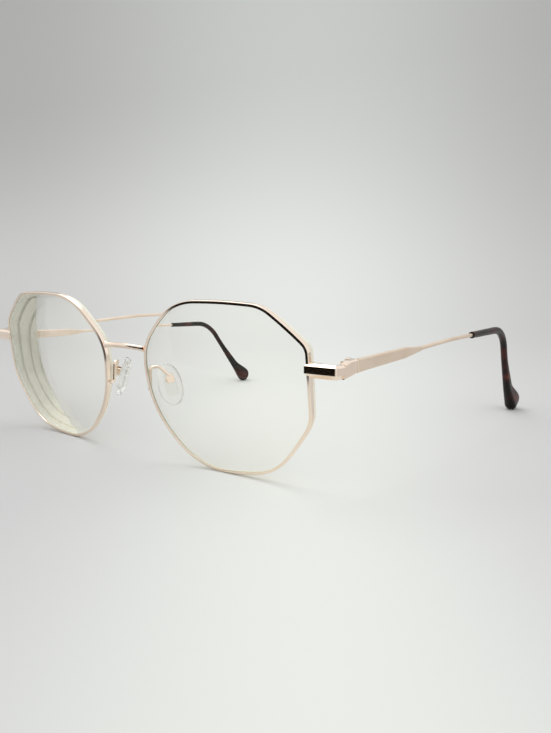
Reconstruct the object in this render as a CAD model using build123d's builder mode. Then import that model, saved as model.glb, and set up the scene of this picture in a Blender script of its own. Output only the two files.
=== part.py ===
from build123d import *
import math
import os

os.makedirs("parts", exist_ok=True)

# Octagonal metal eyeglasses, in millimetres, +Z up. X runs across the face, with the wearer's left at +X, and
# Y runs back along the temples. The origin is on the ground under the middle of the whole frame, which stands
# on its rims and on the ends of its temples. Each paired piece is modelled on the left and mirrored.

# Front: the octagon is the centre line of the rim
octagon_width = 54.0
octagon_height = 46.2
lens_spacing = 71.0
base_radius = 143.0
wrap_angle = 3.3
front_tilt = 8.6

# The octagon's corners, from the upper nose corner over the top: place in half widths and half heights, how
# far the rounding reaches along each side in widths, and the crown of the next side as a share of its length
corner_shares = [
    (-1.001, 0.384, 0.091, 0.050),
    (-0.462, 0.986, 0.126, 0.022),
    (0.542, 0.974, 0.056, 0.026),
    (0.996, 0.545, 0.032, 0.009),
    (0.997, -0.265, 0.050, 0.035),
    (0.534, -0.924, 0.115, 0.028),
    (-0.373, -1.010, 0.167, 0.041),
    (-0.922, -0.342, 0.132, 0.034),
]

# Rim wire and its groove
rim_wall = 0.8
rim_depth = 1.35
rim_edge_round = 0.22
groove_depth = 0.3
groove_width = 0.6

# Lenses: minus lenses whose tongue sits in the groove, the right one the stronger
lens_fit = 0.02
lens_proud = 0.45
lens_centre_thickness = 1.2
left_back_radius = 97.0
right_back_radius = 74.0
optical_inset = 3.0

# Closing blocks at the cut in the rim, and the screw that pulls them together
cut_width = 0.15
block_width = 2.9
block_depth = 2.1
block_height = 1.2
block_set_out = 0.15
rim_screw_radius = 0.45
rim_screw_head_radius = 0.8
rim_screw_head_height = 0.4

# Bridge
bridge_height = 1.5
bridge_depth = 1.25
bridge_foot_height = 2.1
bridge_foot_length = 1.8
bridge_rise = 0.35
bridge_bow = 0.5
bridge_level = 8.9
bridge_bite = 0.2

# The bridge's sections from one rim to the other: side, rise and bow, and how far in from the end of its foot
bridge_section_shares = [(-1, 0, 0), (-1, 0.3, 1), (-0.5, 0.8, 1), (0, 1, 1), (0.5, 0.8, 1), (1, 0.3, 1), (1, 0, 0)]

# End piece: a front block beside the rim, turned back into a return that ends at the hinge
end_level = 7.2
end_front_proud = 1.2
end_lap_share = 1.6
end_reach = 8.6
end_height = 3.6
end_wall = 1.6
end_corner_radius = 1.3
end_sweep_angle = 4.9
end_top_bevel = 0.65
end_lower_bevel = 1.15
return_height = 3.95
return_end_height = 3.5
return_start_back = 3.2
return_slope_run = 2.4
return_rise = 0.5
hinge_rise = 0.9
return_edge = 0.35
hinge_back = 8.55

# Hinge
knuckle_radius = 1.05
knuckle_gap = 0.06
hinge_height = 2.8
hinge_leaf = 0.8
front_leaf_length = 3.2
rear_leaf_length = 4.2
middle_knuckle_share = 0.37
hinge_clearance = 0.15
hinge_screw_radius = 0.5
screw_clearance = 0.04
hinge_screw_head_radius = 0.9
hinge_screw_head_height = 0.3
slot_width_share = 0.3
slot_depth_share = 0.5
seam_gap = 0.15

# Temple: a flat blade that narrows to wire
temple_thickness = 1.2
temple_rise_angle = 2.0
blade_shoulder_run = 5.0
blade_shoulder_height = 3.25
blade_end_run = 24.5
blade_end_height = 2.95
blade_taper_run = 34.5
blade_edge_round = 0.35
blade_blend_radius = 9.0
temple_wire_radius = 0.6

# The wire's run back from the hinge pin: a slight arch, then the ear bend and a straight leg to the ground
arch_run = 54.3
arch_rise = 2.1
arch_radius = 120.0
tip_start_run = 72.0
bend_run = 102.6
bend_rise = 2.05
bend_inset = 1.6
bend_radius = 18.0
leg_drop_angle = 52.5
end_inset = 7.0
core_share = 0.45

# Tip cover: a round tube that slowly thickens down the leg and then flares backwards to a paddle, whose
# outer edge hangs a little under its middle
tip_start_height = 2.1
tip_start_thickness = 2.1
tip_straight_height = 2.4
tip_straight_thickness = 2.3
tip_leg_height = 4.0
tip_leg_thickness = 3.0
paddle_height = 8.0
paddle_thickness = 4.5
paddle_sole = 0.115
tip_corner_share = 0.46
tip_sections = 28
tip_end_share = 0.985
core_clearance = 0.03

# Where along the tip each of its three swellings starts and ends
swelling_shares = [(0, 0.4), (0.58, 0.87), (0.8, 0.97)]

# Nose pads, each hung a little low on its lug
pad_drop = 1.4
pad_arm_radius = 0.45
pad_foot_level = -2.7
pad_foot_in = 0.3
pad_arm_back = 1.35
pad_arm_top = 3.5
pad_arm_over = 2.3
pad_arm_out = 1.0
pad_arm_bend = 1.1
pad_arm_inset = 0.35
pad_pivot_in = 11.3
pad_pivot_back = 7.0
pad_pivot_level = 0.0
pad_splay = 35.0
pad_lean = 17.5
pad_length = 13.0
pad_width = 7.2
pad_thickness = 2.3
pad_face_round = 0.9
pad_back_round = 0.4
pad_stand_off = 1.1
insert_length = 7.0
insert_width = 3.4
insert_thickness = 0.6
insert_cover = 0.3
insert_fit = 0.02
lug_width = 1.0
lug_radius = 0.7
box_height = 2.4
box_cheek = 0.45
box_gap = 0.1
box_open_reach = 0.75
pad_screw_radius = 0.32
pad_screw_head_radius = 0.6
pad_screw_head_height = 0.25

# One overrun for every cut that has to pass right through
overrun = 12.0
braze_gap = 0.01


def lens_plane_at(place_y, place_z):
    """Plane of the left lens: x towards the temple, y up the lens and z out of its front."""
    across = Vector(1, 0, 0).rotate(Axis.Z, wrap_angle).rotate(Axis.X, front_tilt)
    ahead = Vector(0, -1, 0).rotate(Axis.Z, wrap_angle).rotate(Axis.X, front_tilt)
    return Plane(origin=(lens_spacing / 2, place_y, place_z), x_dir=across, z_dir=ahead)


def octagon(plane, margin):
    """The rim's centre line moved out by a margin, as a face on a plane.

    Each crowned side gives two points with their directions, one at each end where its corner's rounding
    starts, and one smooth closed curve joins them all."""
    points = []
    directions = []
    for index, (across, up, rounding, crown) in enumerate(corner_shares):
        next_across, next_up, next_rounding, _ = corner_shares[(index + 1) % len(corner_shares)]
        start = Vector(across * octagon_width / 2, up * octagon_height / 2)
        side = Vector(next_across * octagon_width / 2, next_up * octagon_height / 2) - start
        outward = side.rotate(Axis.Z, 90)
        for run in (rounding * octagon_width / side.length, 1 - next_rounding * octagon_width / side.length):
            direction = (side + outward * (4 * crown * (1 - 2 * run))).normalized()
            points.append(start + side * run + outward * (4 * crown * run * (1 - run))
                          + direction.rotate(Axis.Z, 90) * margin)
            directions.append(direction)
    with BuildSketch(plane) as outline:
        with BuildLine():
            Spline(*points, tangents=directions, periodic=True)
        make_face()
    return outline.sketch


def curved_slab(plane, margin, half_depth):
    """The octagon moved out by a margin, as a slab that follows the base curve."""
    with BuildPart() as slab:
        extrude(octagon(plane, margin), amount=overrun, both=True)
        with Locations(plane.offset(-base_radius)):
            Sphere(base_radius + half_depth, rotation=(90, 0, 0), mode=Mode.INTERSECT)
            Sphere(base_radius - half_depth, rotation=(90, 0, 0), mode=Mode.SUBTRACT)
    return slab.part


def rim_spot(plane, across, up):
    """The point on the rim's base curve at a place on a lens plane."""
    sag = (across ** 2 + up ** 2) / (2 * base_radius)
    return plane.from_local_coords(Vector(across, up, -sag))


def eased(share):
    """A share held between 0 and 1, with a smooth start and finish."""
    held = min(1, max(0, share))
    return held * held * (3 - 2 * held)


def write_piece(piece, name):
    """Label one piece and write it to its own file."""
    piece.label = name
    export_step(piece, f"parts/{name}.step")


def write_pair(piece, name):
    """Write a left piece, and its mirror image as the right one."""
    write_piece(piece, f"left_{name}")
    with BuildPart() as twin:
        mirror(piece, about=Plane.YZ)
    write_piece(twin.part, f"right_{name}")


def slotted_screw(plane, shank_radius, shank_length, head_radius, head_height):
    """A screw with its slotted head standing on a plane and its shank going down from it."""
    with BuildPart() as screw:
        with BuildSketch(plane):
            Circle(head_radius)
        extrude(amount=head_height)
        fillet(screw.edges().sort_by(Axis(plane.origin, plane.z_dir))[-1], head_height * slot_width_share)
        with BuildSketch(plane.offset(head_height * (1 - slot_depth_share))):
            Rectangle(overrun, head_radius * slot_width_share)
        extrude(amount=head_height, mode=Mode.SUBTRACT)
        with BuildSketch(plane):
            Circle(shank_radius)
        extrude(amount=-shank_length)
    return screw.part


def swept_wire(points, radii, wire_radius, mode=Mode.ADD):
    """Round wire along straight runs joined by bends of the given radii."""
    with BuildLine() as run:
        FilletPolyline(*points, radius=radii)
    path = run.wire()
    with BuildSketch(Plane(path @ 0, z_dir=path % 0)) as wire_end:
        Circle(wire_radius)
    sweep(wire_end.sketch, path=path, mode=mode)


def insert_solid(growth):
    """The nose pad's plate and lug, grown on every side."""
    with BuildPart() as insert:
        with BuildSketch(pad_plane.offset(plate_back - growth)):
            with Locations((0, -pad_drop)):
                RectangleRounded(
                    insert_width + 2 * growth, insert_length + 2 * growth, insert_width / 3 + growth
                )
        extrude(amount=insert_thickness + 2 * growth)
        with BuildSketch(screw_plane):
            Circle(lug_radius + growth)
            Rectangle(2 * (lug_radius + growth), plate_back, align=(Align.CENTER, Align.MIN))
        extrude(amount=lug_width / 2 + growth, both=True)
    return insert.part


# Datums: the rims touch the ground, and the origin is midway between the front of the rims and the paddles
rim_outer = rim_wall / 2
trial_plane = lens_plane_at(0, 0)
trial_box = curved_slab(trial_plane, rim_outer, rim_depth / 2).bounding_box()
trial_side = rim_spot(trial_plane, octagon_width / 2, end_level)
lens_height = -trial_box.min.Z
hinge_level = lens_height + trial_side.Z + hinge_rise
leg_direction = Vector(0, math.cos(math.radians(leg_drop_angle)), -math.sin(math.radians(leg_drop_angle)))
leg_back = Vector(0, -leg_direction.Z, leg_direction.Y)
paddle_radius = paddle_height / 2
paddle_shift = (paddle_height - tip_straight_height) / 2
leg_foot_height = paddle_radius + paddle_sole - paddle_shift * leg_back.Z
leg_length = (hinge_level + bend_rise - leg_foot_height) / -leg_direction.Z
back_reach = (trial_side.Y + hinge_back + bend_run + leg_length * leg_direction.Y
              + paddle_shift * leg_back.Y + paddle_radius + paddle_sole)
front_y = -(trial_box.min.Y + back_reach) / 2
lens_plane = lens_plane_at(front_y, lens_height)
rim_side = rim_spot(lens_plane, octagon_width / 2, end_level)
up_lens = lens_plane.y_dir

# Rim: a grooved wire ring on the base curve, cut at the temple side between two closing blocks
lens_margin = -rim_outer
groove_margin = groove_depth - rim_outer
block_plane = Plane(origin=rim_side, x_dir=lens_plane.x_dir, z_dir=up_lens)
block_front = end_wall - end_front_proud
block_centre = (block_width / 2 - rim_outer + block_set_out, block_front + block_depth / 2)
block_reach = block_height + cut_width / 2
rim_screw_spot = (rim_outer + (block_width + block_set_out - rim_wall) / 2, block_front + block_depth / 2)
with BuildPart() as rim_blank:
    add(curved_slab(lens_plane, rim_outer, rim_depth / 2))
    fillet(rim_blank.edges().filter_by(GeomType.LINE, reverse=True), rim_edge_round)
    with BuildSketch(block_plane):
        with Locations(block_centre):
            RectangleRounded(block_width, block_depth, block_depth / 8)
    extrude(amount=block_reach, both=True)
with BuildPart() as left_rim:
    add(rim_blank.part)
    add(curved_slab(lens_plane, lens_margin, rim_depth), mode=Mode.SUBTRACT)
    add(curved_slab(lens_plane, groove_margin, groove_width / 2), mode=Mode.SUBTRACT)
    with BuildSketch(block_plane):
        with Locations((block_width / 2, block_front)):
            Rectangle(block_width + overrun / 8, overrun)
    extrude(amount=cut_width / 2, both=True, mode=Mode.SUBTRACT)
    with BuildSketch(block_plane):
        with Locations(rim_screw_spot):
            Circle(rim_screw_radius + screw_clearance)
    extrude(amount=overrun, both=True, mode=Mode.SUBTRACT)
write_pair(left_rim.part, "rim")

# Rim screw, with its head under the lower block
rim_screw_foot = block_plane.from_local_coords(Vector(*rim_screw_spot, -block_reach))
write_pair(
    slotted_screw(
        Plane(origin=rim_screw_foot, x_dir=block_plane.x_dir, z_dir=-up_lens),
        rim_screw_radius, 2 * block_reach, rim_screw_head_radius, rim_screw_head_height,
    ),
    "rim_screw",
)

def minus_lens(back_radius):
    """A lens for the left rim: a shallow front, a back hollowed to a radius and a tongue all round."""
    back_centre = Vector(-optical_inset, 0, lens_proud - lens_centre_thickness - back_radius)
    with BuildPart() as lens:
        extrude(octagon(lens_plane, lens_margin - lens_fit), amount=overrun, both=True)
        with Locations(lens_plane.offset(-base_radius)):
            Sphere(base_radius + lens_proud, rotation=(90, 0, 0), mode=Mode.INTERSECT)
        with Locations(Plane(lens_plane.from_local_coords(back_centre), lens_plane.x_dir, lens_plane.z_dir)):
            Sphere(back_radius, rotation=(90, 0, 0), mode=Mode.SUBTRACT)
        add(curved_slab(lens_plane, groove_margin - lens_fit, groove_width / 2 - lens_fit))
    return lens.part


# Lenses
write_piece(minus_lens(left_back_radius), "left_lens")
with BuildPart() as right_lens:
    mirror(minus_lens(right_back_radius), about=Plane.YZ)
write_piece(right_lens.part, "right_lens")

# Bridge: an oval bar that rises a little and bows forward, with taller feet on the rims
bridge_end = rim_spot(lens_plane, bridge_bite - octagon_width / 2, bridge_level)
with BuildPart() as bridge:
    for side_share, rise_share, foot_share in bridge_section_shares:
        foot_in = bridge_end.X - bridge_foot_length * abs(foot_share)
        place = Vector(
            side_share * foot_in, bridge_end.Y - bridge_bow * rise_share, bridge_end.Z + bridge_rise * rise_share
        )
        height = bridge_height + (bridge_foot_height - bridge_height) * (1 - abs(foot_share)) * abs(side_share)
        with BuildSketch(Plane(place, x_dir=(0, 1, 0), z_dir=(1, 0, 0))):
            Ellipse(bridge_depth / 2, height / 2)
    loft()
    add(rim_blank.part, mode=Mode.SUBTRACT)
    add(mirror(rim_blank.part, about=Plane.YZ, mode=Mode.PRIVATE), mode=Mode.SUBTRACT)
write_piece(bridge.part, "bridge")

# End piece: the front block from rim to corner, and the taller return back to the hinge
end_outer = rim_side.X + end_reach
end_inner = end_outer - end_wall
end_start = rim_side.X - rim_outer * end_lap_share
end_front = rim_side.Y - end_front_proud
corner_front = end_front + end_reach * math.tan(math.radians(end_sweep_angle))
start_front = end_front - rim_outer * end_lap_share * math.tan(math.radians(end_sweep_angle))
inner_front = corner_front - end_wall * math.tan(math.radians(end_sweep_angle))
return_start = corner_front + return_start_back
axis_x = end_inner - knuckle_radius - hinge_clearance
axis_y = rim_side.Y + hinge_back
return_level = rim_side.Z + return_rise
with BuildPart() as end_return:
    with BuildSketch(Plane.YZ.offset(end_inner)) as return_profile:
        with BuildLine():
            Polyline(
                (return_start, rim_side.Z - end_height / 2),
                (return_start + return_slope_run, return_level - return_height / 2),
                (axis_y - seam_gap, hinge_level - return_end_height / 2),
                (axis_y - seam_gap, hinge_level + return_end_height / 2),
                (return_start + return_slope_run, return_level + return_height / 2),
                (return_start, rim_side.Z + end_height / 2),
                close=True,
            )
        make_face()
    extrude(amount=end_wall)
    chamfer(end_return.faces().sort_by(Axis.X)[-1].edges(), return_edge)
with BuildPart() as left_end_piece:
    with BuildSketch(Plane.XY.offset(rim_side.Z)) as end_plan:
        with BuildLine():
            Polyline(
                (end_start, start_front),
                (end_outer, corner_front),
                (end_outer, return_start + return_edge),
                (end_inner, return_start + return_edge),
                (end_inner, inner_front + end_wall),
                (end_start, start_front + end_wall),
                close=True,
            )
        make_face()
        fillet(end_plan.vertices().group_by(Axis.X)[-1].sort_by(Axis.Y)[0], end_corner_radius)
    extrude(amount=end_height / 2, both=True)
    bevelled = [
        edge for edge in left_end_piece.edges()
        if abs(edge.tangent_at(0.5).Z) < 0.5
        and ((edge @ 0.5).Y < corner_front + end_wall / 2 or (edge @ 0.5).X > end_outer - braze_gap)
    ]
    chamfer([edge for edge in bevelled if (edge @ 0.5).Z > rim_side.Z], end_top_bevel)
    chamfer([edge for edge in bevelled if (edge @ 0.5).Z < rim_side.Z], end_lower_bevel)
    add(end_return.part)
    add(rim_blank.part, mode=Mode.SUBTRACT)
write_pair(left_end_piece.part, "end_piece")

# Hinge: two knuckles on the end piece and one between them on the temple, on a vertical screw
temple_inner = end_outer - temple_thickness
leaf_gap = knuckle_radius + hinge_clearance
middle_reach = hinge_height * middle_knuckle_share / 2
outer_height = hinge_height / 2 - middle_reach - knuckle_gap
bore_radius = hinge_screw_radius + screw_clearance
with BuildPart() as left_front_hinge:
    with BuildSketch(Plane.XY.offset(hinge_level - hinge_height / 2)):
        with Locations((end_inner, axis_y - leaf_gap)):
            Rectangle(hinge_leaf, front_leaf_length, align=(Align.MAX, Align.MAX))
    extrude(amount=hinge_height)
    for knuckle_foot in (hinge_level - hinge_height / 2, hinge_level + hinge_height / 2 - outer_height):
        with BuildSketch(Plane.XY.offset(knuckle_foot)):
            with Locations((axis_x, axis_y)):
                Circle(knuckle_radius)
            with Locations((axis_x, axis_y)):
                Rectangle(end_inner - axis_x, leaf_gap, align=(Align.MIN, Align.MAX))
        extrude(amount=outer_height)
    with BuildSketch(Plane.XY.offset(hinge_level)):
        with Locations((axis_x, axis_y)):
            Circle(bore_radius)
    extrude(amount=overrun, both=True, mode=Mode.SUBTRACT)
write_pair(left_front_hinge.part, "front_hinge")

with BuildPart() as left_rear_hinge:
    with BuildSketch(Plane.XY.offset(hinge_level - hinge_height / 2)):
        with Locations((temple_inner, axis_y + leaf_gap)):
            Rectangle(hinge_leaf, rear_leaf_length, align=(Align.MAX, Align.MIN))
    extrude(amount=hinge_height)
    with BuildSketch(Plane.XY.offset(hinge_level - middle_reach)):
        with Locations((axis_x, axis_y)):
            Circle(knuckle_radius)
        with Locations((axis_x, axis_y)):
            Rectangle(temple_inner - axis_x, leaf_gap, align=(Align.MIN, Align.MIN))
    extrude(amount=2 * middle_reach)
    with BuildSketch(Plane.XY.offset(hinge_level)):
        with Locations((axis_x, axis_y)):
            Circle(bore_radius)
    extrude(amount=overrun, both=True, mode=Mode.SUBTRACT)
write_pair(left_rear_hinge.part, "rear_hinge")
write_pair(
    slotted_screw(
        Plane((axis_x, axis_y, hinge_level + hinge_height / 2)),
        hinge_screw_radius, hinge_height, hinge_screw_head_radius, hinge_screw_head_height,
    ),
    "hinge_screw",
)

# Temple: the flat blade, and the wire that runs on from it through the ear bend as the tip's core
rise = math.radians(temple_rise_angle)
blade_plane = Plane((end_outer, axis_y, hinge_level), x_dir=(0, math.cos(rise), math.sin(rise)), z_dir=(1, 0, 0))
wire_x = end_outer - temple_thickness / 2
blade_top = [
    (0, return_end_height / 2),
    (blade_shoulder_run, blade_shoulder_height / 2),
    (blade_end_run, blade_end_height / 2),
    (blade_taper_run, temple_wire_radius),
]
wire_start = blade_plane.from_local_coords(Vector(blade_taper_run - blade_shoulder_run, 0, -temple_thickness / 2))
arch_top = Vector(wire_x, axis_y + arch_run, hinge_level + arch_rise)
ear_bend = Vector(wire_x - bend_inset, axis_y + bend_run, hinge_level + bend_rise)
leg_end = ear_bend + leg_direction * leg_length - Vector(end_inset - bend_inset, 0, 0)
leg = leg_end - ear_bend
core_end = ear_bend + leg * core_share
bore_end = core_end + leg.normalized() * core_clearance
wire_radii = (arch_radius, bend_radius)
with BuildPart() as left_temple:
    with BuildSketch(blade_plane) as blade_profile:
        with BuildLine():
            Polyline(*blade_top, *[(run, -half) for run, half in reversed(blade_top)], close=True)
        make_face()
        fillet(
            [vertex for vertex in blade_profile.vertices()
             if blade_shoulder_run / 2 < (vertex.center() - blade_plane.origin).length
             < (blade_end_run + blade_taper_run) / 2],
            blade_blend_radius,
        )
    extrude(amount=-temple_thickness)
    fillet(
        left_temple.faces().sort_by(Axis.X)[-1].edges() + left_temple.faces().sort_by(Axis.X)[0].edges(),
        blade_edge_round,
    )
    swept_wire((wire_start, arch_top, ear_bend, core_end), wire_radii, temple_wire_radius)
write_pair(left_temple.part, "temple")

# Temple tip: sections along the same run, with the growth of each put behind and outside the wire, so that
# the front edge and the inner face stay straight
tip_start = arch_top + (ear_bend - arch_top) * ((tip_start_run - arch_run) / (bend_run - arch_run))
tip_heights = (tip_start_height, tip_straight_height, tip_leg_height, paddle_height)
tip_thicknesses = (tip_start_thickness, tip_straight_thickness, tip_leg_thickness, paddle_thickness)
with BuildLine() as tip_line:
    FilletPolyline(tip_start, ear_bend, leg_end + leg.normalized() * paddle_radius, radius=bend_radius)
tip_path = tip_line.wire()
round_start = 1 - paddle_radius / tip_path.length
with BuildPart() as left_temple_tip:
    for index in range(tip_sections):
        share = math.sin(index / (tip_sections - 1) * tip_end_share * math.pi / 2)
        swellings = [eased((share - start) / (finish - start)) for start, finish in swelling_shares]
        rounded = math.sqrt(1 - max(0, (share - round_start) / (1 - round_start)) ** 2)
        height = tip_start_height
        thickness = tip_start_thickness
        for step, swelling in enumerate(swellings):
            height += (tip_heights[step + 1] - tip_heights[step]) * swelling
            thickness += (tip_thicknesses[step + 1] - tip_thicknesses[step]) * swelling
        behind = max(0, height - tip_straight_height) / 2
        outside = max(0, thickness - tip_straight_thickness) / 2
        along = tip_path.tangent_at(share)
        section = Plane(tip_path.position_at(share), x_dir=Vector(1, 0, 0) - along * along.X, z_dir=along)
        wide = thickness * math.sqrt(rounded)
        tall = height * rounded
        with BuildSketch(section):
            with Locations((outside, -behind)):
                RectangleRounded(wide, tall, min(wide, tall) * tip_corner_share)
    loft()
    swept_wire(
        (wire_start, arch_top, ear_bend, bore_end), wire_radii, temple_wire_radius + core_clearance, Mode.SUBTRACT
    )
write_pair(left_temple_tip.part, "temple_tip")

# Nose pad's frame: z out of the pad's face towards the nose, y along the pad, x along its screw
splay = math.radians(pad_splay)
lean = math.radians(pad_lean)
pad_ahead = Vector(-math.cos(lean) * math.cos(splay), math.cos(lean) * math.sin(splay), -math.sin(lean))
pad_long = Vector(0, 1, 0).cross(pad_ahead).normalized()
pad_pivot = Vector(pad_pivot_in, front_y + pad_pivot_back, lens_height + pad_pivot_level)
pad_plane = Plane(pad_pivot, x_dir=pad_long.cross(pad_ahead), z_dir=pad_ahead)
screw_plane = Plane(pad_pivot, x_dir=pad_long, z_dir=pad_plane.x_dir)
lug_bore = pad_screw_radius + screw_clearance

# Pad box: a clevis open towards the pad
box_inside = lug_width / 2 + box_gap
box_half_width = box_inside + box_cheek
box_floor = lug_radius + hinge_clearance
with BuildPart() as left_pad_box:
    with BuildSketch(pad_plane.offset(-box_floor - box_cheek)):
        RectangleRounded(2 * box_half_width, box_height, box_cheek)
    extrude(amount=box_floor + box_cheek + box_open_reach)
    with BuildSketch(pad_plane.offset(-box_floor)):
        Rectangle(2 * box_inside, overrun)
    extrude(amount=overrun, mode=Mode.SUBTRACT)
    with BuildSketch(screw_plane):
        Circle(lug_bore)
    extrude(amount=overrun, both=True, mode=Mode.SUBTRACT)
write_pair(left_pad_box.part, "pad_box")
write_pair(
    slotted_screw(
        screw_plane.offset(box_half_width),
        pad_screw_radius, 2 * box_half_width, pad_screw_head_radius, pad_screw_head_height,
    ),
    "pad_screw",
)

# Pad insert: a plate inside the pad, and the lug that turns in the box
plate_back = pad_stand_off + insert_cover
left_pad_insert = insert_solid(0)
with BuildPart() as drilled_insert:
    add(left_pad_insert)
    with BuildSketch(screw_plane):
        Circle(lug_bore)
    extrude(amount=overrun, both=True, mode=Mode.SUBTRACT)
write_pair(drilled_insert.part, "pad_insert")

# Nose pad: a soft oval cushion moulded round the insert
with BuildPart() as left_nose_pad:
    with BuildSketch(pad_plane.offset(pad_stand_off)):
        with Locations((0, -pad_drop)):
            Ellipse(pad_width / 2, pad_length / 2)
    extrude(amount=pad_thickness)
    rims = left_nose_pad.edges().sort_by(Axis(pad_pivot, pad_ahead))
    fillet(rims[-1], pad_face_round)
    fillet(left_nose_pad.edges().sort_by(Axis(pad_pivot, pad_ahead))[0], pad_back_round)
    add(insert_solid(insert_fit), mode=Mode.SUBTRACT)
write_pair(left_nose_pad.part, "nose_pad")

# Pad arm: a bent wire from the back of the rim, up, back and down to the box
arm_foot = rim_spot(lens_plane, pad_foot_in - octagon_width / 2, pad_foot_level) - Vector(pad_arm_inset, 0, 0)
arm_top = rim_spot(lens_plane, -octagon_width / 2, pad_arm_top) - Vector(pad_arm_inset, 0, 0)
arm_back = arm_foot.Y + pad_arm_back
arm_over = Vector(arm_top.X + pad_arm_out, arm_back + pad_arm_over, arm_top.Z)
with BuildPart() as left_pad_arm:
    swept_wire(
        (
            arm_foot,
            Vector(arm_foot.X, arm_back, arm_foot.Z),
            Vector(arm_top.X, arm_back, arm_top.Z),
            arm_over,
            pad_plane.from_local_coords(Vector(0, box_height / 2 - pad_arm_radius, -box_floor - box_cheek / 2)),
        ),
        (pad_arm_bend,) * 3,
        pad_arm_radius,
    )
    add(rim_blank.part, mode=Mode.SUBTRACT)
    with BuildSketch(pad_plane.offset(-box_floor - box_cheek)):
        RectangleRounded(2 * box_half_width, box_height, box_cheek)
    extrude(amount=overrun, mode=Mode.SUBTRACT)
write_pair(left_pad_arm.part, "pad_arm")
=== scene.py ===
"""Looks of a pair of octagonal metal eyeglasses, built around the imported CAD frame.

Sizes are given in millimetres and turned to metres by MM, in the CAD's own frame: +X to the wearer's left,
-Y out of the lenses, +Z up. The studio's own sizes are in metres.
"""

import logging
import math
from collections.abc import Sequence
from dataclasses import dataclass
from enum import Enum, IntEnum
from typing import Any

import bpy
from mathutils import Matrix, Vector


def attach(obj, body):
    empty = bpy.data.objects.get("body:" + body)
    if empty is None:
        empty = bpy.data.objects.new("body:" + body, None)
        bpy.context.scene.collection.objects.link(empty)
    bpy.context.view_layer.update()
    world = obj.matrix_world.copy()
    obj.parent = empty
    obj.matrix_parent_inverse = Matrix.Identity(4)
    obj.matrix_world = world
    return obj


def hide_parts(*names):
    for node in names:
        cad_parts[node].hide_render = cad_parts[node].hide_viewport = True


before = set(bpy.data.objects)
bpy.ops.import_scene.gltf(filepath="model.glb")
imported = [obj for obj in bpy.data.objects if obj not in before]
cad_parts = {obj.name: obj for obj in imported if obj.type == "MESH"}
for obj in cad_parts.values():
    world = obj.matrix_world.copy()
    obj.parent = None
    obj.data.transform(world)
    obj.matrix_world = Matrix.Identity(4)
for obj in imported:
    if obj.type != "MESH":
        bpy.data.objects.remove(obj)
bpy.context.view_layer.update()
LOG = logging.getLogger("eyeglasses")
MM = 0.001

SRGB_STEPS = 255
SRGB_TOE = 0.04045
SRGB_TOE_SLOPE = 12.92
SRGB_OFFSET = 0.055
SRGB_POWER = 2.4

# The colour sockets of Blender's Mix node, which holds a set of sockets for each kind of data.
MIX_COLOUR_A = 6
MIX_COLOUR_B = 7
MIX_COLOUR_OUT = 2

# Light is reflected many times inside the thick lens before it reaches the ground edge.
GLOSSY_BOUNCES = 12

# The speed at a knot of the rim's outline is that of a parabola through this many knots.
PARABOLA_KNOTS = 3


class Side(Enum):
    """Which of a pair a piece is, by the wearer's own left and right."""

    LEFT = "left"
    RIGHT = "right"


class Layer(IntEnum):
    """The surface of a lens that a ring of its blank is ground to."""

    FRONT = 0
    GROOVE_FRONT = 1
    GROOVE_BACK = 2
    BACK = 3


def linear(code: str) -> tuple[float, float, float, float]:
    """Turn an sRGB hex colour into Blender's linear one.

    Args:
        code: Six hex digits, with or without a leading #.

    Returns:
        Linear red, green and blue, and an alpha of 1.
    """
    digits = code.lstrip("#")
    values = []
    for at in (0, 2, 4):
        part = int(digits[at:at + 2], 16) / SRGB_STEPS
        if part <= SRGB_TOE:
            values.append(part / SRGB_TOE_SLOPE)
        else:
            values.append(((part + SRGB_OFFSET) / (1 + SRGB_OFFSET)) ** SRGB_POWER)
    return values[0], values[1], values[2], 1.0


def add_node(tree: bpy.types.NodeTree, kind: str, inputs: dict[Any, Any] | None = None,
             **settings: Any) -> bpy.types.Node:
    """Add one node to a tree, with its settings, values and links.

    Args:
        tree: The tree that the node goes into.
        kind: Blender's name of the node's type.
        inputs: Input name or number to a value, or to a socket that is linked to it.
        **settings: The node's own properties.

    Returns:
        The new node.
    """
    node = tree.nodes.new(kind)
    for name, value in settings.items():
        setattr(node, name, value)
    for name, value in (inputs or {}).items():
        if isinstance(value, bpy.types.NodeSocket):
            tree.links.new(value, node.inputs[name])
        else:
            node.inputs[name].default_value = value
    return node


def new_material(name: str) -> tuple[bpy.types.Material, bpy.types.NodeTree]:
    """Start a material with an empty node tree.

    Args:
        name: The material's name.

    Returns:
        The material and its tree.
    """
    material = bpy.data.materials.new(name)
    material.use_nodes = True
    material.node_tree.nodes.clear()
    return material, material.node_tree


def finish_material(tree: bpy.types.NodeTree, shader: bpy.types.NodeSocket) -> None:
    """Join a shader to the tree's output.

    Args:
        tree: The material's tree.
        shader: The shader that the surface shows.
    """
    add_node(tree, "ShaderNodeOutputMaterial", {"Surface": shader})


def object_place(tree: bpy.types.NodeTree, scale: Sequence[float] = (1, 1, 1)) -> bpy.types.NodeSocket:
    """Give object coordinates in metres, scaled along each axis.

    Args:
        tree: The material's tree.
        scale: Scale along X, Y and Z; less than 1 draws a pattern out.

    Returns:
        The scaled coordinates.
    """
    place = add_node(tree, "ShaderNodeTexCoord").outputs["Object"]
    return add_node(tree, "ShaderNodeMapping", {"Vector": place, "Scale": scale}).outputs["Vector"]


def noise(tree: bpy.types.NodeTree, place: bpy.types.NodeSocket, size_mm: float, detail: float,
          **more: float) -> bpy.types.NodeSocket:
    """Add a noise whose pattern has a real size.

    Args:
        tree: The material's tree.
        place: Coordinates in metres.
        size_mm: The size of one cell of the pattern, in millimetres.
        detail: How many finer layers lie over it.
        **more: The noise node's other inputs, by name.

    Returns:
        The noise, from 0 to 1.
    """
    return add_node(tree, "ShaderNodeTexNoise", {
        "Vector": place, "Scale": 1 / (size_mm * MM), "Detail": detail, **more}).outputs["Fac"]


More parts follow.
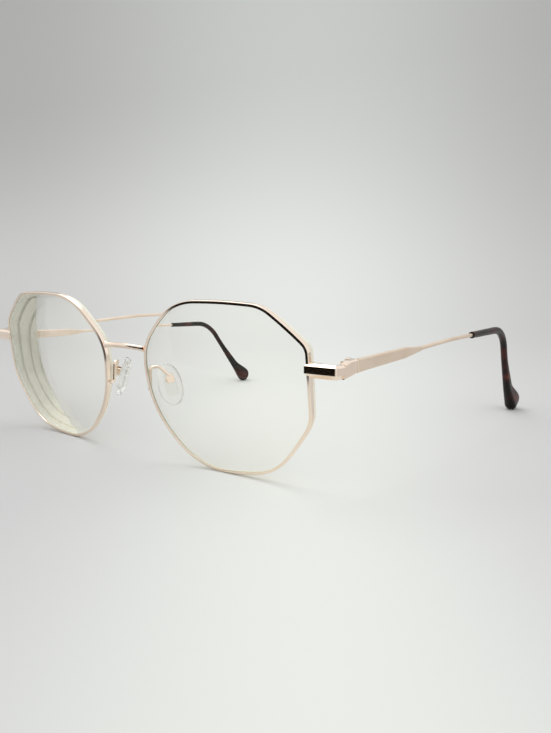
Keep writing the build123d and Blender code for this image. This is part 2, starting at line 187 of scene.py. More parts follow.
def bumps(tree: bpy.types.NodeTree, height: bpy.types.NodeSocket, strength: float,
          depth_mm: float) -> bpy.types.NodeSocket:
    """Turn a height into a bumped normal.

    Args:
        tree: The material's tree.
        height: The height, from 0 to 1.
        strength: How much of the bump shows.
        depth_mm: The depth that a height of 1 stands for, in millimetres.

    Returns:
        The normal.
    """
    return add_node(tree, "ShaderNodeBump", {
        "Height": height, "Strength": strength, "Distance": depth_mm * MM}).outputs["Normal"]


def colour_ramp(tree: bpy.types.NodeTree, factor: bpy.types.NodeSocket, stops: Sequence[tuple[float, str]],
                interpolation: str = "LINEAR") -> bpy.types.NodeSocket:
    """Turn a value into a colour.

    Args:
        tree: The material's tree.
        factor: The value.
        stops: Two or more places from 0 to 1 with their hex colours.
        interpolation: How the ramp runs between its stops.

    Returns:
        The colour.
    """
    node = add_node(tree, "ShaderNodeValToRGB", {"Fac": factor})
    ramp = node.color_ramp
    ramp.interpolation = interpolation
    ramp.elements[0].position, ramp.elements[0].color = stops[0][0], linear(stops[0][1])
    ramp.elements[1].position, ramp.elements[1].color = stops[-1][0], linear(stops[-1][1])
    for position, code in stops[1:-1]:
        ramp.elements.new(position).color = linear(code)
    return node.outputs["Color"]


def clear_to_lamps(tree: bpy.types.NodeTree, shader: bpy.types.NodeSocket,
                   tint: str) -> bpy.types.NodeSocket:
    """Let light through a clear shader to what lies behind it, faintly tinted.

    Args:
        tree: The material's tree.
        shader: The clear shader.
        tint: The hex colour of the light that comes through.

    Returns:
        The shader that lets light through.
    """
    rays = add_node(tree, "ShaderNodeLightPath").outputs["Is Shadow Ray"]
    through = add_node(tree, "ShaderNodeBsdfTransparent", {"Color": linear(tint)}).outputs["BSDF"]
    return add_node(tree, "ShaderNodeMixShader", {0: rays, 1: shader, 2: through}).outputs["Shader"]


@dataclass(frozen=True)
class RoseGoldPlate:
    """Pale rose-gold plating on nickel silver: polished it mirrors the room, brushed it glows softly."""

    name: str
    colour: str = "#FAEADA"
    deep_colour: str = "#F2DDC8"
    roughness: float = 0.10
    roughness_spread: float = 0.06
    # The marks of a real mop or brush are finer: they are drawn coarse enough to show.
    grain_mm: float = 0.35
    along: tuple[float, float, float] = (1.0, 1.0, 1.0)
    bump: float = 0.02
    grain_detail: float = 3.0
    grain_mix: float = 0.55
    grain_depth_mm: float = 0.02
    cloud_mm: float = 9.0
    cloud_detail: float = 2.0
    cloud_from: float = 0.35
    cloud_to: float = 0.75

    def build(self) -> bpy.types.Material:
        """Make the metal, with a fine grain and faint clouds of a deeper tone.

        Returns:
            The material.
        """
        material, tree = new_material(self.name)
        grain = noise(tree, object_place(tree, self.along), self.grain_mm, self.grain_detail,
                      Roughness=self.grain_mix)
        cloud = noise(tree, object_place(tree), self.cloud_mm, self.cloud_detail)
        rough = add_node(tree, "ShaderNodeMapRange", {
            "Value": grain, "To Min": self.roughness, "To Max": self.roughness + self.roughness_spread})
        tones = [(self.cloud_from, self.colour), (self.cloud_to, self.deep_colour)]
        shader = add_node(tree, "ShaderNodeBsdfPrincipled", {
            "Base Color": colour_ramp(tree, cloud, tones), "Metallic": 1.0,
            "Roughness": rough.outputs["Result"],
            "Normal": bumps(tree, grain, self.bump, self.grain_depth_mm)})
        finish_material(tree, shader.outputs["BSDF"])
        return material


@dataclass(frozen=True)
class OpticalResin:
    """Mid-index optical resin: clear and polished on its faces, ground to a cream frost round its edge."""

    name: str
    colour: str = "#FFFFFC"
    roughness: float = 0.0
    ior: float = 1.56
    gloss: float = 0.1
    clear: float = 1.0
    # A real ground edge is finer: its grit is drawn coarse enough to show.
    grit_mm: float = 0.0
    grit_detail: float = 1.0
    grit_bump: float = 0.3
    grit_depth_share: float = 0.25
    coating: str = "#FFFFFF"
    glow_through: float = 0.0
    shadow_tint: str = "#FBFBF9"

    def build(self) -> bpy.types.Material:
        """Make the lens material.

        The coating's colour is what is left of a reflection, and the glow is the share of light that a
        ground surface scatters through.

        Returns:
            The material.
        """
        material, tree = new_material(self.name)
        shader = add_node(tree, "ShaderNodeBsdfPrincipled", {
            "Base Color": linear(self.colour), "Roughness": self.roughness, "IOR": self.ior,
            "Transmission Weight": self.clear, "Specular IOR Level": self.gloss,
            "Specular Tint": linear(self.coating)})
        if self.grit_mm:
            grit = noise(tree, object_place(tree), self.grit_mm, self.grit_detail)
            normal = bumps(tree, grit, self.grit_bump, self.grit_mm * self.grit_depth_share)
            tree.links.new(normal, shader.inputs["Normal"])
        surface = shader.outputs["BSDF"]
        if self.glow_through:
            glow = add_node(tree, "ShaderNodeBsdfTranslucent", {"Color": linear(self.colour)})
            surface = add_node(tree, "ShaderNodeMixShader", {
                0: self.glow_through, 1: surface, 2: glow.outputs["BSDF"]}).outputs["Shader"]
        finish_material(tree, clear_to_lamps(tree, surface, self.shadow_tint))
        return material


@dataclass(frozen=True)
class TortoiseAcetate:
    """Tumble-polished cellulose acetate: near black, with soft red and amber clouds and a glossy skin."""

    name: str
    dark: str = "#171310"
    red: str = "#3E1B19"
    amber: str = "#66382A"
    dark_to: float = 0.44
    red_at: float = 0.6
    amber_from: float = 0.82
    fleck_mm: float = 7.0
    fleck_scale: tuple[float, float, float] = (1.0, 0.7, 1.0)
    fleck_detail: float = 2.5
    fleck_swirl: float = 0.7
    roughness: float = 0.25
    roughness_spread: float = 0.08
    ior: float = 1.48
    gloss: float = 0.18

    def build(self) -> bpy.types.Material:
        """Make the mottled plastic.

        Returns:
            The material.
        """
        material, tree = new_material(self.name)
        clouds = noise(tree, object_place(tree, self.fleck_scale), self.fleck_mm, self.fleck_detail,
                       Distortion=self.fleck_swirl)
        skin = add_node(tree, "ShaderNodeMapRange", {
            "Value": clouds, "To Min": self.roughness, "To Max": self.roughness + self.roughness_spread})
        tones = [(self.dark_to, self.dark), (self.red_at, self.red), (self.amber_from, self.amber)]
        shader = add_node(tree, "ShaderNodeBsdfPrincipled", {
            "Base Color": colour_ramp(tree, clouds, tones), "Roughness": skin.outputs["Result"],
            "IOR": self.ior, "Specular IOR Level": self.gloss})
        finish_material(tree, shader.outputs["BSDF"])
        return material


@dataclass(frozen=True)
class ClearMoulding:
    """A clear moulding: soft silicone with a satin skin, or the hard nylon core inside it."""

    name: str
    colour: str = "#FFFFFD"
    roughness: float = 0.14
    ior: float = 1.41
    gloss: float = 0.5
    clear: float = 1.0
    ripple_mm: float = 1.6
    ripple_detail: float = 1.0
    ripple_bump: float = 0.15
    ripple_depth_mm: float = 0.05
    shadow_tint: str = "#F6F6F4"

    def build(self) -> bpy.types.Material:
        """Make the clear moulding, with the faint ripple of a moulded skin.

        Returns:
            The material.
        """
        material, tree = new_material(self.name)
        ripple = noise(tree, object_place(tree), self.ripple_mm, self.ripple_detail)
        shader = add_node(tree, "ShaderNodeBsdfPrincipled", {
            "Base Color": linear(self.colour), "Roughness": self.roughness, "IOR": self.ior,
            "Transmission Weight": self.clear, "Specular IOR Level": self.gloss,
            "Normal": bumps(tree, ripple, self.ripple_bump, self.ripple_depth_mm)})
        finish_material(tree, clear_to_lamps(tree, shader.outputs["BSDF"], self.shadow_tint))
        return material


@dataclass(frozen=True)
class PaperSweep:
    """Matt white paper with a painted pool of light: palest where the painted pool runs out from its foot,
    with painted shade greyer to the sides.
    """

    name: str
    foot: tuple[float, float]
    view_turn: float
    # The tones of the painted pool of light: palest near the foot in the middle, with painted shade greyer
    # to the sides and farther off.
    near_middle: str = "#EAECE8"
    near_side: str = "#D1D1D1"
    far_middle: str = "#DEE0DD"
    far_side: str = "#C2C2C1"
    pool_aside: float = 0.035
    pool_reach: float = 0.44
    near: float = 0.17
    far: float = 0.62
    roughness: float = 0.4
    # Real paper is finer: its fibres are drawn coarse enough to show.
    fibre_mm: float = 0.8
    fibre_detail: float = 1.0
    fibre_bump: float = 0.1
    fibre_depth_mm: float = 0.05

    def build(self) -> bpy.types.Material:
        """Make the paper, with its painted pool of light and painted shade.

        Returns:
            The material.
        """
        material, tree = new_material(self.name)
        ahead = Vector(self.foot)
        ahead.rotate(Matrix.Rotation(-self.view_turn, 2))
        place = add_node(tree, "ShaderNodeTexCoord").outputs["Object"]
        from_foot = add_node(tree, "ShaderNodeMapping", {
            "Vector": place, "Rotation": (0, 0, -self.view_turn), "Location": (-ahead.x, -ahead.y, 0)})
        parts = add_node(tree, "ShaderNodeSeparateXYZ", {"Vector": from_foot.outputs["Vector"]}).outputs
        ahead_of_foot = add_node(tree, "ShaderNodeMath", {0: parts["Y"], 1: self.near},
                                 operation="MAXIMUM")
        slant = add_node(tree, "ShaderNodeMath", {0: parts["X"], 1: ahead_of_foot.outputs["Value"]},
                         operation="DIVIDE")
        aside = add_node(tree, "ShaderNodeMath", {0: slant.outputs["Value"], 1: self.pool_aside},
                         operation="SUBTRACT")
        away = add_node(tree, "ShaderNodeMath", {0: aside.outputs["Value"]}, operation="ABSOLUTE")
        share = add_node(tree, "ShaderNodeMapRange", {
            "Value": away.outputs["Value"], "From Max": self.pool_reach}).outputs["Result"]
        distance = add_node(tree, "ShaderNodeMapRange", {
            "Value": parts["Y"], "From Min": self.near, "From Max": self.far},
            interpolation_type="SMOOTHSTEP")
        # Painted light: the pool and the painted shade to its sides, near the foot and far off, mixed by
        # distance.
        near_painted_tones = colour_ramp(tree, share, [(0.0, self.near_middle), (1.0, self.near_side)], "EASE")
        far_painted_tones = colour_ramp(tree, share, [(0.0, self.far_middle), (1.0, self.far_side)], "EASE")
        colour = add_node(tree, "ShaderNodeMix", {
            "Factor": distance.outputs["Result"], MIX_COLOUR_A: near_painted_tones, MIX_COLOUR_B: far_painted_tones},
            data_type="RGBA").outputs[MIX_COLOUR_OUT]
        fibres = noise(tree, place, self.fibre_mm, self.fibre_detail)
        shader = add_node(tree, "ShaderNodeBsdfDiffuse", {
            "Color": colour, "Roughness": self.roughness,
            "Normal": bumps(tree, fibres, self.fibre_bump, self.fibre_depth_mm)})
        finish_material(tree, shader.outputs["BSDF"])
        return material


@dataclass(frozen=True)
class BlackCard:
    """Matt black card, which a photographer stands beside polished metal to draw its edges."""

    name: str
    colour: str = "#1A1510"

    def build(self) -> bpy.types.Material:
        """Make the card.

        Returns:
            The material.
        """
        material, tree = new_material(self.name)
        shader = add_node(tree, "ShaderNodeBsdfDiffuse", {"Color": linear(self.colour)})
        finish_material(tree, shader.outputs["BSDF"])
        return material


def dress(name: str, material: bpy.types.Material) -> None:
    """Give a CAD node one material all over.

    Args:
        name: The node's name.
        material: Its material.
    """
    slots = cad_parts[name].data.materials
    slots.clear()
    slots.append(material)


def ringed_shell(name: str, rings: Sequence[Sequence[Vector]], poles: tuple[Vector, Vector],
                 sharp_rings: Sequence[int] = ()) -> bpy.types.Mesh:
    """Make a closed shell from rings of points and a pole at each end.

    Args:
        name: The mesh's name.
        rings: Rings with the same number of points, in order from the first pole to the second. Those that
            run clockwise, seen from the first pole, give faces that point outwards.
        poles: The points that close the two ends.
        sharp_rings: The rings whose edges stay crisp.

    Returns:
        The mesh.
    """
    count = len(rings[0])
    points = [tuple(point) for ring in rings for point in ring]
    points += [tuple(poles[0]), tuple(poles[1])]
    first_pole, last_pole = len(points) - 2, len(points) - 1
    faces = []
    for at in range(len(rings) - 1):
        for step in range(count):
            after = (step + 1) % count
            faces.append((at * count + step, at * count + after, (at + 1) * count + after,
                          (at + 1) * count + step))
    last = (len(rings) - 1) * count
    for step in range(count):
        after = (step + 1) % count
        faces.append((first_pole, after, step))
        faces.append((last_pole, last + step, last + after))
    mesh = bpy.data.meshes.new(name)
    mesh.from_pydata(points, [], faces)
    mesh.polygons.foreach_set("use_smooth", [True] * len(mesh.polygons))
    crisp = set(sharp_rings)
    for edge in mesh.edges:
        low, high = (vertex // count for vertex in edge.vertices)
        edge.use_edge_sharp = low == high and low in crisp
    mesh.update()
    return mesh


def grow(tree: bpy.types.NodeTree, mesh: bpy.types.Mesh, sizes: dict[str, float]) -> bpy.types.Mesh:
    """Run a Geometry Nodes tree on a mesh and return the result as a plain mesh.

    Args:
        tree: The tree, whose inputs are named.
        mesh: What the tree starts from.
        sizes: Input name to value.

    Returns:
        The plain mesh, with nothing live on it.
    """
    holder = bpy.data.objects.new(mesh.name, mesh)
    bpy.context.scene.collection.objects.link(holder)
    modifier = holder.modifiers.new(tree.name, "NODES")
    modifier.node_group = tree
    for item in tree.interface.items_tree:
        if item.item_type == "SOCKET" and item.in_out == "INPUT" and item.name in sizes:
            modifier[item.identifier] = sizes[item.name]
    grown = bpy.data.meshes.new_from_object(holder.evaluated_get(bpy.context.evaluated_depsgraph_get()))
    bpy.data.objects.remove(holder)
    return grown


def add_piece(name: str, mesh: bpy.types.Mesh, place: Matrix, side: Side) -> bpy.types.Object:
    """Put a mesh into the scene as a piece, with its place in its mesh.

    Args:
        name: The piece's name.
        mesh: The mesh of the left piece, in its own plane.
        place: From that plane to the CAD's frame, on the left.
        side: The right piece is the left one's mirror image.

    Returns:
        The new object, at the origin.
    """
    mesh.name = name
    mesh.transform(place)
    if side is Side.RIGHT:
        mesh.transform(Matrix.Diagonal((-1, 1, 1, 1)))
        mesh.flip_normals()
    piece = bpy.data.objects.new(name, mesh)
    bpy.context.scene.collection.objects.link(piece)
    return piece


def plane_place(origin_mm: Sequence[float], x_dir: Vector, z_dir: Vector) -> Matrix:
    """Work out the matrix of a plane in the CAD's frame.

    Args:
        origin_mm: The plane's origin, in millimetres.
        x_dir: Its X direction.
        z_dir: The direction that it faces.

    Returns:
        The matrix from the plane to the frame.
    """
    y_dir = z_dir.cross(x_dir)
    turn = Matrix((x_dir, y_dir, z_dir)).transposed().to_4x4()
    return Matrix.Translation(Vector(origin_mm) * MM) @ turn


@dataclass(frozen=True)
class RimOutline:
    """The smooth octagon that rims and lenses follow, on the lens plane, in millimetres."""

    width: float = 54.0
    height: float = 46.2
    # Each corner's place in half widths and half heights, its rounding as a share of the width, and the
    # crown of the side after it as a share of that side's length.
    corners: tuple[tuple[float, float, float, float], ...] = (
        (-1.001, 0.384, 0.091, 0.050),
        (-0.462, 0.986, 0.126, 0.022),
        (0.542, 0.974, 0.056, 0.026),
        (0.996, 0.545, 0.032, 0.009),
        (0.997, -0.265, 0.050, 0.035),
        (0.534, -0.924, 0.115, 0.028),
        (-0.373, -1.010, 0.167, 0.041),
        (-0.922, -0.342, 0.132, 0.034),
    )

    def knots(self, margin: float) -> tuple[list[Vector], list[Vector]]:
        """Find two points with their directions on each crowned side.

        Args:
            margin: How far outside the rim's centre line, in millimetres.

        Returns:
            The points and their directions, clockwise seen from the front of the lens.
        """
        points, directions = [], []
        for at, (across, up, rounding, crown) in enumerate(self.corners):
            next_across, next_up, next_rounding, _ = self.corners[(at + 1) % len(self.corners)]
            start = Vector((across * self.width / 2, up * self.height / 2))
            side = Vector((next_across * self.width / 2, next_up * self.height / 2)) - start
            outward = Vector((-side.y, side.x))
            for run in (rounding * self.width / side.length, 1 - next_rounding * self.width / side.length):
                way = (side + outward * (4 * crown * (1 - 2 * run))).normalized()
                points.append(start + side * run + outward * (4 * crown * run * (1 - run))
                              + Vector((-way.y, way.x)) * margin)
                directions.append(way)
        return points, directions

    def ring(self, margin: float, count: int) -> list[Vector]:
        """Space points evenly round the outline.

        Args:
            margin: How far outside the rim's centre line, in millimetres.
            count: How many points.

        Returns:
            The points, clockwise seen from the front of the lens.
        """
        points, directions = self.knots(margin)
        total = len(points)
        spans = [(points[(at + 1) % total] - points[at]).length for at in range(total)]
        starts = [sum(spans[:at]) for at in range(total + 1)]
        slopes = []
        for at, way in enumerate(directions):
            first = min(max(at - 1, 0), total - PARABOLA_KNOTS)
            fitted = range(first, first + PARABOLA_KNOTS)
            speed = Vector((0, 0))
            for near in fitted:
                others = [far for far in fitted if far != near]
                below = (starts[near] - starts[others[0]]) * (starts[near] - starts[others[1]])
                speed += points[near] * ((2 * starts[at] - starts[others[0]] - starts[others[1]]) / below)
            slopes.append(way * ((abs(speed.x) + abs(speed.y)) / (abs(way.x) + abs(way.y))))
        ring = []
        at = 0
        for step in range(count):
            run = starts[-1] * step / count
            while run >= starts[at + 1]:
                at += 1
            span, after = spans[at], (at + 1) % total
            share = (run - starts[at]) / span
            squared, cubed = share ** 2, share ** 3
            spot = points[at] * (2 * cubed - 3 * squared + 1)
            spot += slopes[at] * (span * (cubed - 2 * squared + share))
            spot += points[after] * (3 * squared - 2 * cubed)
            ring.append(spot + slopes[after] * (span * (cubed - squared)))
        return ring


@dataclass
class Lens:
    """One high minus lens: a shallow front, a deeply hollowed back and a ground edge with its tongue."""

    side: Side
    back_radius: float
    face: bpy.types.Material
    edge: bpy.types.Material
    outline: RimOutline = RimOutline()
    base_radius: float = 143.0
    proud: float = 0.45
    centre_thickness: float = 1.2
    optical_inset: float = 3.0
    wall_margin: float = -0.42
    tongue_margin: float = -0.12
    tongue_half: float = 0.28
    # The lens's plane in the CAD's frame: how far apart the two stand, where, and how they are turned.
    spacing: float = 71.0
    place_back: float = -71.154900
    place_height: float = 23.220668
    wrap: float = math.radians(3.3)
    tilt: float = math.radians(8.6)
    steps_round: int = 256
    steps_in: int = 26

    def build(self) -> None:
        """Make the lens in place of its CAD node."""
        grown = grow(self._grinding(), self._blank(), {
            "Rim Radius": self.base_radius * MM, "Front Radius": (self.base_radius + self.proud) * MM,
            "Back Radius": self.back_radius * MM, "Centre Thickness": self.centre_thickness * MM,
            "Optical Inset": self.optical_inset * MM, "Tongue Half": self.tongue_half * MM})
        lens = add_piece(f"{self.side.value}_ground_lens", grown, self.place(), self.side)
        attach(lens, "front")
        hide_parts(f"{self.side.value}_lens")
        LOG.info("ground the %s lens: %d faces", self.side.value, len(grown.polygons))

    def place(self) -> Matrix:
        """Find the plane of the left lens, wrapped round the face and tilted.

        Returns:
            The matrix from that plane to the CAD's frame.
        """
        across = Vector((math.cos(self.wrap), math.sin(self.wrap) * math.cos(self.tilt),
                         math.sin(self.wrap) * math.sin(self.tilt)))
        ahead = Vector((math.sin(self.wrap), -math.cos(self.wrap) * math.cos(self.tilt),
                        -math.cos(self.wrap) * math.sin(self.tilt)))
        return plane_place((self.spacing / 2, self.place_back, self.place_height), across, ahead)

    def _blank(self) -> bpy.types.Mesh:
        """Make a flat closed blank whose rings know which surface they are ground to.

        Returns:
            The blank.
        """
        wall = self.outline.ring(self.wall_margin, self.steps_round)
        tongue = self.outline.ring(self.tongue_margin, self.steps_round)
        scales = [step / self.steps_in for step in range(1, self.steps_in + 1)]
        tongue_rows = [(wall, 1.0, Layer.GROOVE_FRONT), (tongue, 1.0, Layer.GROOVE_FRONT),
                       (tongue, 1.0, Layer.GROOVE_BACK), (wall, 1.0, Layer.GROOVE_BACK)]
        rows = [(wall, scale, Layer.FRONT) for scale in scales] + tongue_rows
        rows += [(wall, scale, Layer.BACK) for scale in reversed(scales)]
        rings = [[(point * scale * MM).to_3d() for point in ring] for ring, scale, _ in rows]
        first_wall = self.steps_in - 1
        last_wall = first_wall + len(tongue_rows) + 1
        mesh = ringed_shell("lens_blank", rings, (Vector(), Vector()), range(first_wall, last_wall + 1))
        layers = [int(layer) for _, _, layer in rows for _ in range(self.steps_round)]
        mesh.attributes.new("layer", "INT", "POINT").data.foreach_set(
            "value", layers + [int(Layer.FRONT), int(Layer.BACK)])
        ground = [first_wall <= face // self.steps_round < last_wall for face in range(len(mesh.polygons))]
        mesh.attributes.new("ground", "BOOLEAN", "FACE").data.foreach_set("value", ground)
        return mesh

    def _grinding(self) -> bpy.types.NodeTree:
        """Make the tree that raises each ring of the blank to its sphere and dresses faces and edge.

        Returns:
            The Geometry Nodes tree.
        """
        tree = bpy.data.node_groups.new("lens_grinding", "GeometryNodeTree")
        tree.interface.new_socket("Geometry", in_out="INPUT", socket_type="NodeSocketGeometry")
        for name in ("Rim Radius", "Front Radius", "Back Radius", "Centre Thickness", "Optical Inset",
                     "Tongue Half"):
            tree.interface.new_socket(name, in_out="INPUT", socket_type="NodeSocketFloat")
        tree.interface.new_socket("Geometry", in_out="OUTPUT", socket_type="NodeSocketGeometry")
        sizes = add_node(tree, "NodeGroupInput").outputs

        def calc(operation: str, *terms: Any) -> bpy.types.NodeSocket:
            """Work out one step of the sums."""
            node = add_node(tree, "ShaderNodeMath", dict(enumerate(terms)), operation=operation)
            return node.outputs["Value"]

        def sag(radius: bpy.types.NodeSocket, across: bpy.types.NodeSocket) -> bpy.types.NodeSocket:
            """Work out the height over its own centre of a sphere that lies on the lens's axis.

            Args:
                radius: The sphere's radius.
                across: The distance from its axis along X.

            Returns:
                The height.
            """
            away = calc("ADD", calc("MULTIPLY", across, across), calc("MULTIPLY", up, up))
            return calc("SQRT", calc("SUBTRACT", calc("MULTIPLY", radius, radius), away))

        here = add_node(tree, "ShaderNodeSeparateXYZ", {
            "Vector": add_node(tree, "GeometryNodeInputPosition").outputs["Position"]}).outputs
        across, up = here["X"], here["Y"]
        rim = calc("SUBTRACT", sag(sizes["Rim Radius"], across), sizes["Rim Radius"])
        front = calc("SUBTRACT", sag(sizes["Front Radius"], across), sizes["Rim Radius"])
        front_proud = calc("SUBTRACT", sizes["Front Radius"], sizes["Rim Radius"])
        back = calc("SUBTRACT", sag(sizes["Back Radius"], calc("ADD", across, sizes["Optical Inset"])),
                    sizes["Back Radius"])
        back = calc("SUBTRACT", calc("ADD", back, front_proud), sizes["Centre Thickness"])
        layer = add_node(tree, "GeometryNodeInputNamedAttribute", {"Name": "layer"}, data_type="INT")
        pick = add_node(tree, "GeometryNodeIndexSwitch", data_type="FLOAT")
        while len(pick.index_switch_items) < len(Layer):
            pick.index_switch_items.new()
        heights = {Layer.FRONT: front, Layer.GROOVE_FRONT: calc("ADD", rim, sizes["Tongue Half"]),
                   Layer.GROOVE_BACK: calc("SUBTRACT", rim, sizes["Tongue Half"]), Layer.BACK: back}
        tree.links.new(layer.outputs["Attribute"], pick.inputs["Index"])
        for at, height in heights.items():
            tree.links.new(height, pick.inputs[str(int(at))])
        raised = add_node(tree, "ShaderNodeCombineXYZ", {
            "X": across, "Y": up, "Z": pick.outputs["Output"]})
        shaped = add_node(tree, "GeometryNodeSetPosition", {
            "Geometry": sizes["Geometry"], "Position": raised.outputs["Vector"]}).outputs["Geometry"]
        real = add_node(tree, "GeometryNodeRealizeInstances", {"Geometry": shaped}).outputs["Geometry"]
        faces = add_node(tree, "GeometryNodeSetMaterial", {"Geometry": real, "Material": self.face})
        ground = add_node(tree, "GeometryNodeInputNamedAttribute", {"Name": "ground"}, data_type="BOOLEAN")
        edges = add_node(tree, "GeometryNodeSetMaterial", {
            "Geometry": faces.outputs["Geometry"], "Selection": ground.outputs["Attribute"],
            "Material": self.edge})
        add_node(tree, "NodeGroupOutput", {"Geometry": edges.outputs["Geometry"]})
        return tree


@dataclass
class NosePad:
    """One nose pad: a clear oval cushion with a crowned face, and the hard core with its lug."""

    side: Side
    silicone: bpy.types.Material
    core: bpy.types.Material
    # The plane through the pad's screw: its origin, its X direction and the direction that it faces.
    pivot: tuple[float, float, float] = (11.3, -64.1549, 23.220668)
    x_dir: tuple[float, float, float] = (-0.510517, -0.837113, -0.196503)
    z_dir: tuple[float, float, float] = (-0.781239, 0.54703, -0.300706)
    drop: float = 1.4
    half_width: float = 3.58
    half_length: float = 6.48
    back: float = 1.12
    thickness: float = 2.26
    crown: float = 0.35
    face_round: float = 1.0
    back_round: float = 0.4
    steps_round: int = 96
    steps_in: int = 10
    steps_edge: int = 6

    def build(self) -> None:
        """Make the pad in place of its CAD node, and dress the core."""
        place = plane_place(self.pivot, Vector(self.x_dir), Vector(self.z_dir))
        pad = add_piece(f"{self.side.value}_soft_pad", self._shell(), place, self.side)
        pad.data.materials.append(self.silicone)
        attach(pad, f"{self.side.value}_pad")
        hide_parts(f"{self.side.value}_nose_pad")
        dress(f"{self.side.value}_pad_insert", self.core)
        LOG.info("moulded the %s nose pad", self.side.value)

    def _shell(self) -> bpy.types.Mesh:
        """Make the closed oval cushion, from the crown of its face to the middle of its flat back.

        Returns:
            The left pad's mesh, on the plane through its pivot.
        """
        top = self.back + self.thickness
        rings = []
        for step in range(1, self.steps_in + 1):
            share = step / (self.steps_in + 1)
            rings.append(self._ring(share, self.face_round, top - self.crown * share * share))
        for step in range(self.steps_edge + 1):
            turn = math.pi / 2 * step / self.steps_edge
            rings.append(self._ring(1.0, self.face_round * (1 - math.sin(turn)),
                                    top - self.crown - self.face_round * (1 - math.cos(turn))))
        for step in range(self.steps_edge + 1):
            turn = math.pi / 2 * step / self.steps_edge
            rings.append(self._ring(1.0, self.back_round * (1 - math.cos(turn)),
                                    self.back + self.back_round * (1 - math.sin(turn))))
        for step in range(self.steps_in, 0, -1):
            rings.append(self._ring(step / (self.steps_in + 1), self.back_round, self.back))
        poles = (Vector((0, -self.drop, top)) * MM, Vector((0, -self.drop, self.back)) * MM)
        mesh = ringed_shell("soft_pad", rings, poles)
        mesh.flip_normals()
        return mesh

    def _ring(self, share: float, inset: float, height: float) -> list[Vector]:
        """Make an oval ring of points.

        Args:
            share: The ring's size as a share of the whole oval.
            inset: How far inside the pad's outline the whole oval lies, in millimetres.
            height: Its height over the pad's pivot, in millimetres.

        Returns:
            The points, anticlockwise seen from the pad's face.
        """
        wide = (self.half_width - inset) * share
        long = (self.half_length - inset) * share
        ring = []
        for step in range(self.steps_round):
            turn = 2 * math.pi * step / self.steps_round
            ring.append(Vector((wide * math.cos(turn), long * math.sin(turn) - self.drop, height)) * MM)
        return ring


@dataclass
class Front:
    """The metal front: rims, bridge, end pieces, hinges, pad arms and their screws."""

    polished: bpy.types.Material
    paired: tuple[str, ...] = ("rim", "rim_screw", "end_piece", "front_hinge", "hinge_screw", "pad_arm",
                               "pad_box", "pad_screw")

    def build(self) -> None:
        """Dress every node of the metal front."""
        dress("bridge", self.polished)
        for side in Side:
            for piece in self.paired:
                dress(f"{side.value}_{piece}", self.polished)
        LOG.info("dressed the metal front")


@dataclass
class Temple:
    """One temple arm with its hinge half and its tip."""

    side: Side
    satin: bpy.types.Material
    polished: bpy.types.Material
    tortoise: bpy.types.Material

    def build(self) -> None:
        """Dress the temple, its hinge and its tip."""
        dress(f"{self.side.value}_temple", self.satin)
        dress(f"{self.side.value}_rear_hinge", self.polished)
        dress(f"{self.side.value}_temple_tip", self.tortoise)
        LOG.info("dressed the %s temple", self.side.value)


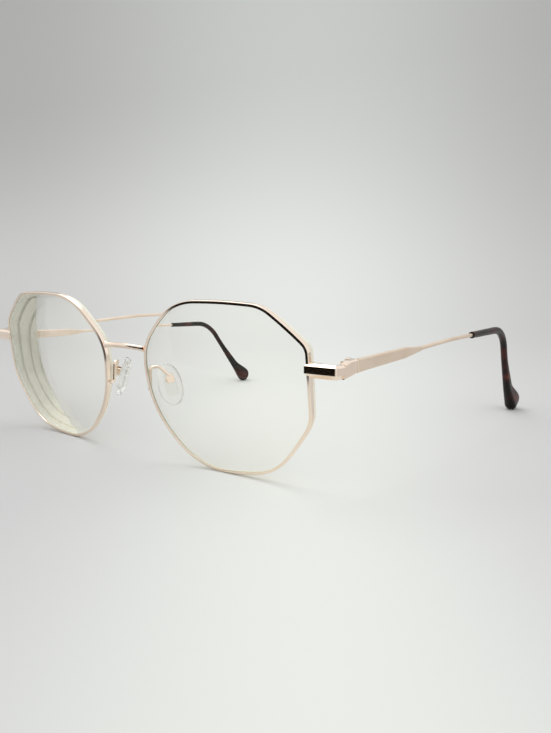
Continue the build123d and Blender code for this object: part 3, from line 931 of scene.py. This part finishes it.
@dataclass
class Studio:
    """A pale paper sweep, soft light, a dark card for the metal and a camera at the photograph's angle."""

    sweep_front: float = -1.5
    sweep_back: float = 0.45
    sweep_radius: float = 3.0
    sweep_rise: float = math.radians(60.0)
    sweep_half_width: float = 4.0
    bend_steps: int = 64
    card_centre: tuple[float, float, float] = (0.005, -0.14, 0.032)
    card_width: float = 0.14
    card_height: float = 0.064
    lamp_place: tuple[float, float, float] = (-0.5, 0.1, 1.1)
    lamp_size: float = 0.9
    lamp_power: float = 5.0
    room_light: float = 0.85
    room_shown: float = 0.96
    camera_place: tuple[float, float, float] = (0.1588, -0.207355, 0.05618)
    camera_right: tuple[float, float, float] = (0.7936, 0.6084, 0.0078)
    camera_forward: tuple[float, float, float] = (-0.6014, 0.7862, -0.1423)
    camera_lens: float = 35.13
    camera_clip: tuple[float, float] = (0.01, 20.0)

    def view_turn(self) -> float:
        """Work out how far the camera's view is turned about Z from +Y."""
        return math.atan2(-self.camera_forward[0], self.camera_forward[1])

    def build(self) -> None:
        """Build the sweep, the light, the card and the camera."""
        self._sweep()
        self._light()
        self._dark_card()
        self._camera()
        LOG.info("set up the studio")

    def _stage_mesh(self, name: str, points: list[tuple[float, ...]], faces: list[tuple[int, ...]],
                    material: bpy.types.Material) -> bpy.types.Object:
        """Add a mesh that is part of the stage and not of the object.

        Args:
            name: The mesh's name.
            points: Its points, in metres.
            faces: The points of each face.
            material: Its material.

        Returns:
            The new object.
        """
        mesh = bpy.data.meshes.new(name)
        mesh.from_pydata(points, [], faces)
        mesh.polygons.foreach_set("use_smooth", [True] * len(mesh.polygons))
        mesh.materials.append(material)
        item = bpy.data.objects.new(name, mesh)
        bpy.context.scene.collection.objects.link(item)
        return item

    def _sweep(self) -> None:
        """Build the floor that curves up behind, square to the camera's view."""
        profile = [(self.sweep_front, 0.0), (self.sweep_back, 0.0)]
        for step in range(1, self.bend_steps + 1):
            turn = self.sweep_rise * step / self.bend_steps
            profile.append((self.sweep_back + self.sweep_radius * math.sin(turn),
                            self.sweep_radius * (1 - math.cos(turn))))
        place = (Matrix.Translation((self.camera_place[0], self.camera_place[1], 0))
                 @ Matrix.Rotation(self.view_turn(), 4, "Z"))
        points = [tuple(place @ Vector((x, y, z)))
                  for y, z in profile for x in (-self.sweep_half_width, self.sweep_half_width)]
        faces = [(2 * at, 2 * at + 1, 2 * at + 3, 2 * at + 2) for at in range(len(profile) - 1)]
        paper = PaperSweep("matt_white_paper_painted_pool", self.camera_place[:2], self.view_turn()).build()
        self._stage_mesh("paper_sweep", points, faces, paper)

    def _light(self) -> None:
        """Set an even pale room and one large soft lamp over the left shoulder."""
        world = bpy.data.worlds.new("studio")
        world.use_nodes = True
        tree = world.node_tree
        tree.nodes.clear()
        rays = add_node(tree, "ShaderNodeLightPath").outputs
        seen = rays["Is Camera Ray"]
        for kind in ("Is Glossy Ray", "Is Transmission Ray"):
            either = add_node(tree, "ShaderNodeMath", {0: seen, 1: rays[kind]}, operation="MAXIMUM")
            seen = either.outputs["Value"]
        strength = add_node(tree, "ShaderNodeMapRange", {
            "Value": seen, "To Min": self.room_light, "To Max": self.room_shown}).outputs["Result"]
        glow = add_node(tree, "ShaderNodeBackground", {"Color": linear("#FFFFFF"), "Strength": strength})
        add_node(tree, "ShaderNodeOutputWorld", {"Surface": glow.outputs["Background"]})
        bpy.context.scene.world = world
        data = bpy.data.lights.new("soft_box", "AREA")
        data.shape = "RECTANGLE"
        data.size = data.size_y = self.lamp_size
        data.energy = self.lamp_power
        lamp = bpy.data.objects.new("soft_box", data)
        lamp.location = self.lamp_place
        lamp.rotation_euler = (-Vector(self.lamp_place)).to_track_quat("-Z", "Y").to_euler()
        bpy.context.scene.collection.objects.link(lamp)

    def _dark_card(self) -> None:
        """Stand a black card out of the picture, which only reflections in the metal show."""
        across = Vector((self.card_width / 2, 0, 0))
        rise = Vector((0, 0, self.card_height / 2))
        centre = Vector(self.card_centre)
        corners = ((-1, -1), (1, -1), (1, 1), (-1, 1))
        points = [tuple(centre + across * aside + rise * up) for aside, up in corners]
        card = self._stage_mesh("black_card", points, [(0, 1, 2, 3)], BlackCard("matt_black_card").build())
        card.visible_camera = card.visible_diffuse = card.visible_shadow = False
        card.visible_transmission = card.visible_volume_scatter = False

    def _camera(self) -> None:
        """Place the camera that was fitted to the photograph."""
        forward = Vector(self.camera_forward).normalized()
        right = Vector(self.camera_right)
        right = (right - forward * right.dot(forward)).normalized()
        data = bpy.data.cameras.new("camera")
        data.lens = self.camera_lens
        data.clip_start, data.clip_end = self.camera_clip
        camera = bpy.data.objects.new("camera", data)
        turn = Matrix((right, right.cross(forward), -forward)).transposed().to_4x4()
        camera.matrix_world = Matrix.Translation(self.camera_place) @ turn
        bpy.context.scene.collection.objects.link(camera)
        bpy.context.scene.camera = camera


def main() -> None:
    """Build and dress the eyeglasses and the studio."""
    logging.basicConfig(level=logging.INFO, format="%(message)s")
    bpy.context.scene.view_settings.view_transform = "Standard"
    bpy.context.scene.cycles.glossy_bounces = GLOSSY_BOUNCES
    polished = RoseGoldPlate("polished_rose_gold_plate").build()
    satin = RoseGoldPlate(
        "satin_rose_gold_plate", colour="#F0DFCC", deep_colour="#E9D4BE", roughness=0.32,
        roughness_spread=0.12, grain_mm=0.12, along=(1.0, 0.06, 1.0), bump=0.08).build()
    face = OpticalResin("polished_optical_resin", coating="#7F9286").build()
    edge = OpticalResin(
        "ground_optical_resin", colour="#FFFEEE", roughness=0.5, gloss=0.3, clear=0.0, grit_mm=0.15,
        glow_through=0.12).build()
    tortoise = TortoiseAcetate("tortoise_acetate").build()
    silicone = ClearMoulding("clear_silicone").build()
    core = ClearMoulding("clear_nylon", roughness=0.2, ior=1.12, gloss=0.3, clear=0.95).build()
    Front(polished).build()
    # The right lens is the stronger one: its back is hollowed more.
    back_radii = {Side.LEFT: 97.0, Side.RIGHT: 74.0}
    for side, back_radius in back_radii.items():
        Lens(side, back_radius, face, edge).build()
        NosePad(side, silicone, core).build()
        Temple(side, satin, polished, tortoise).build()
    Studio().build()


if __name__ == "__main__":
    main()
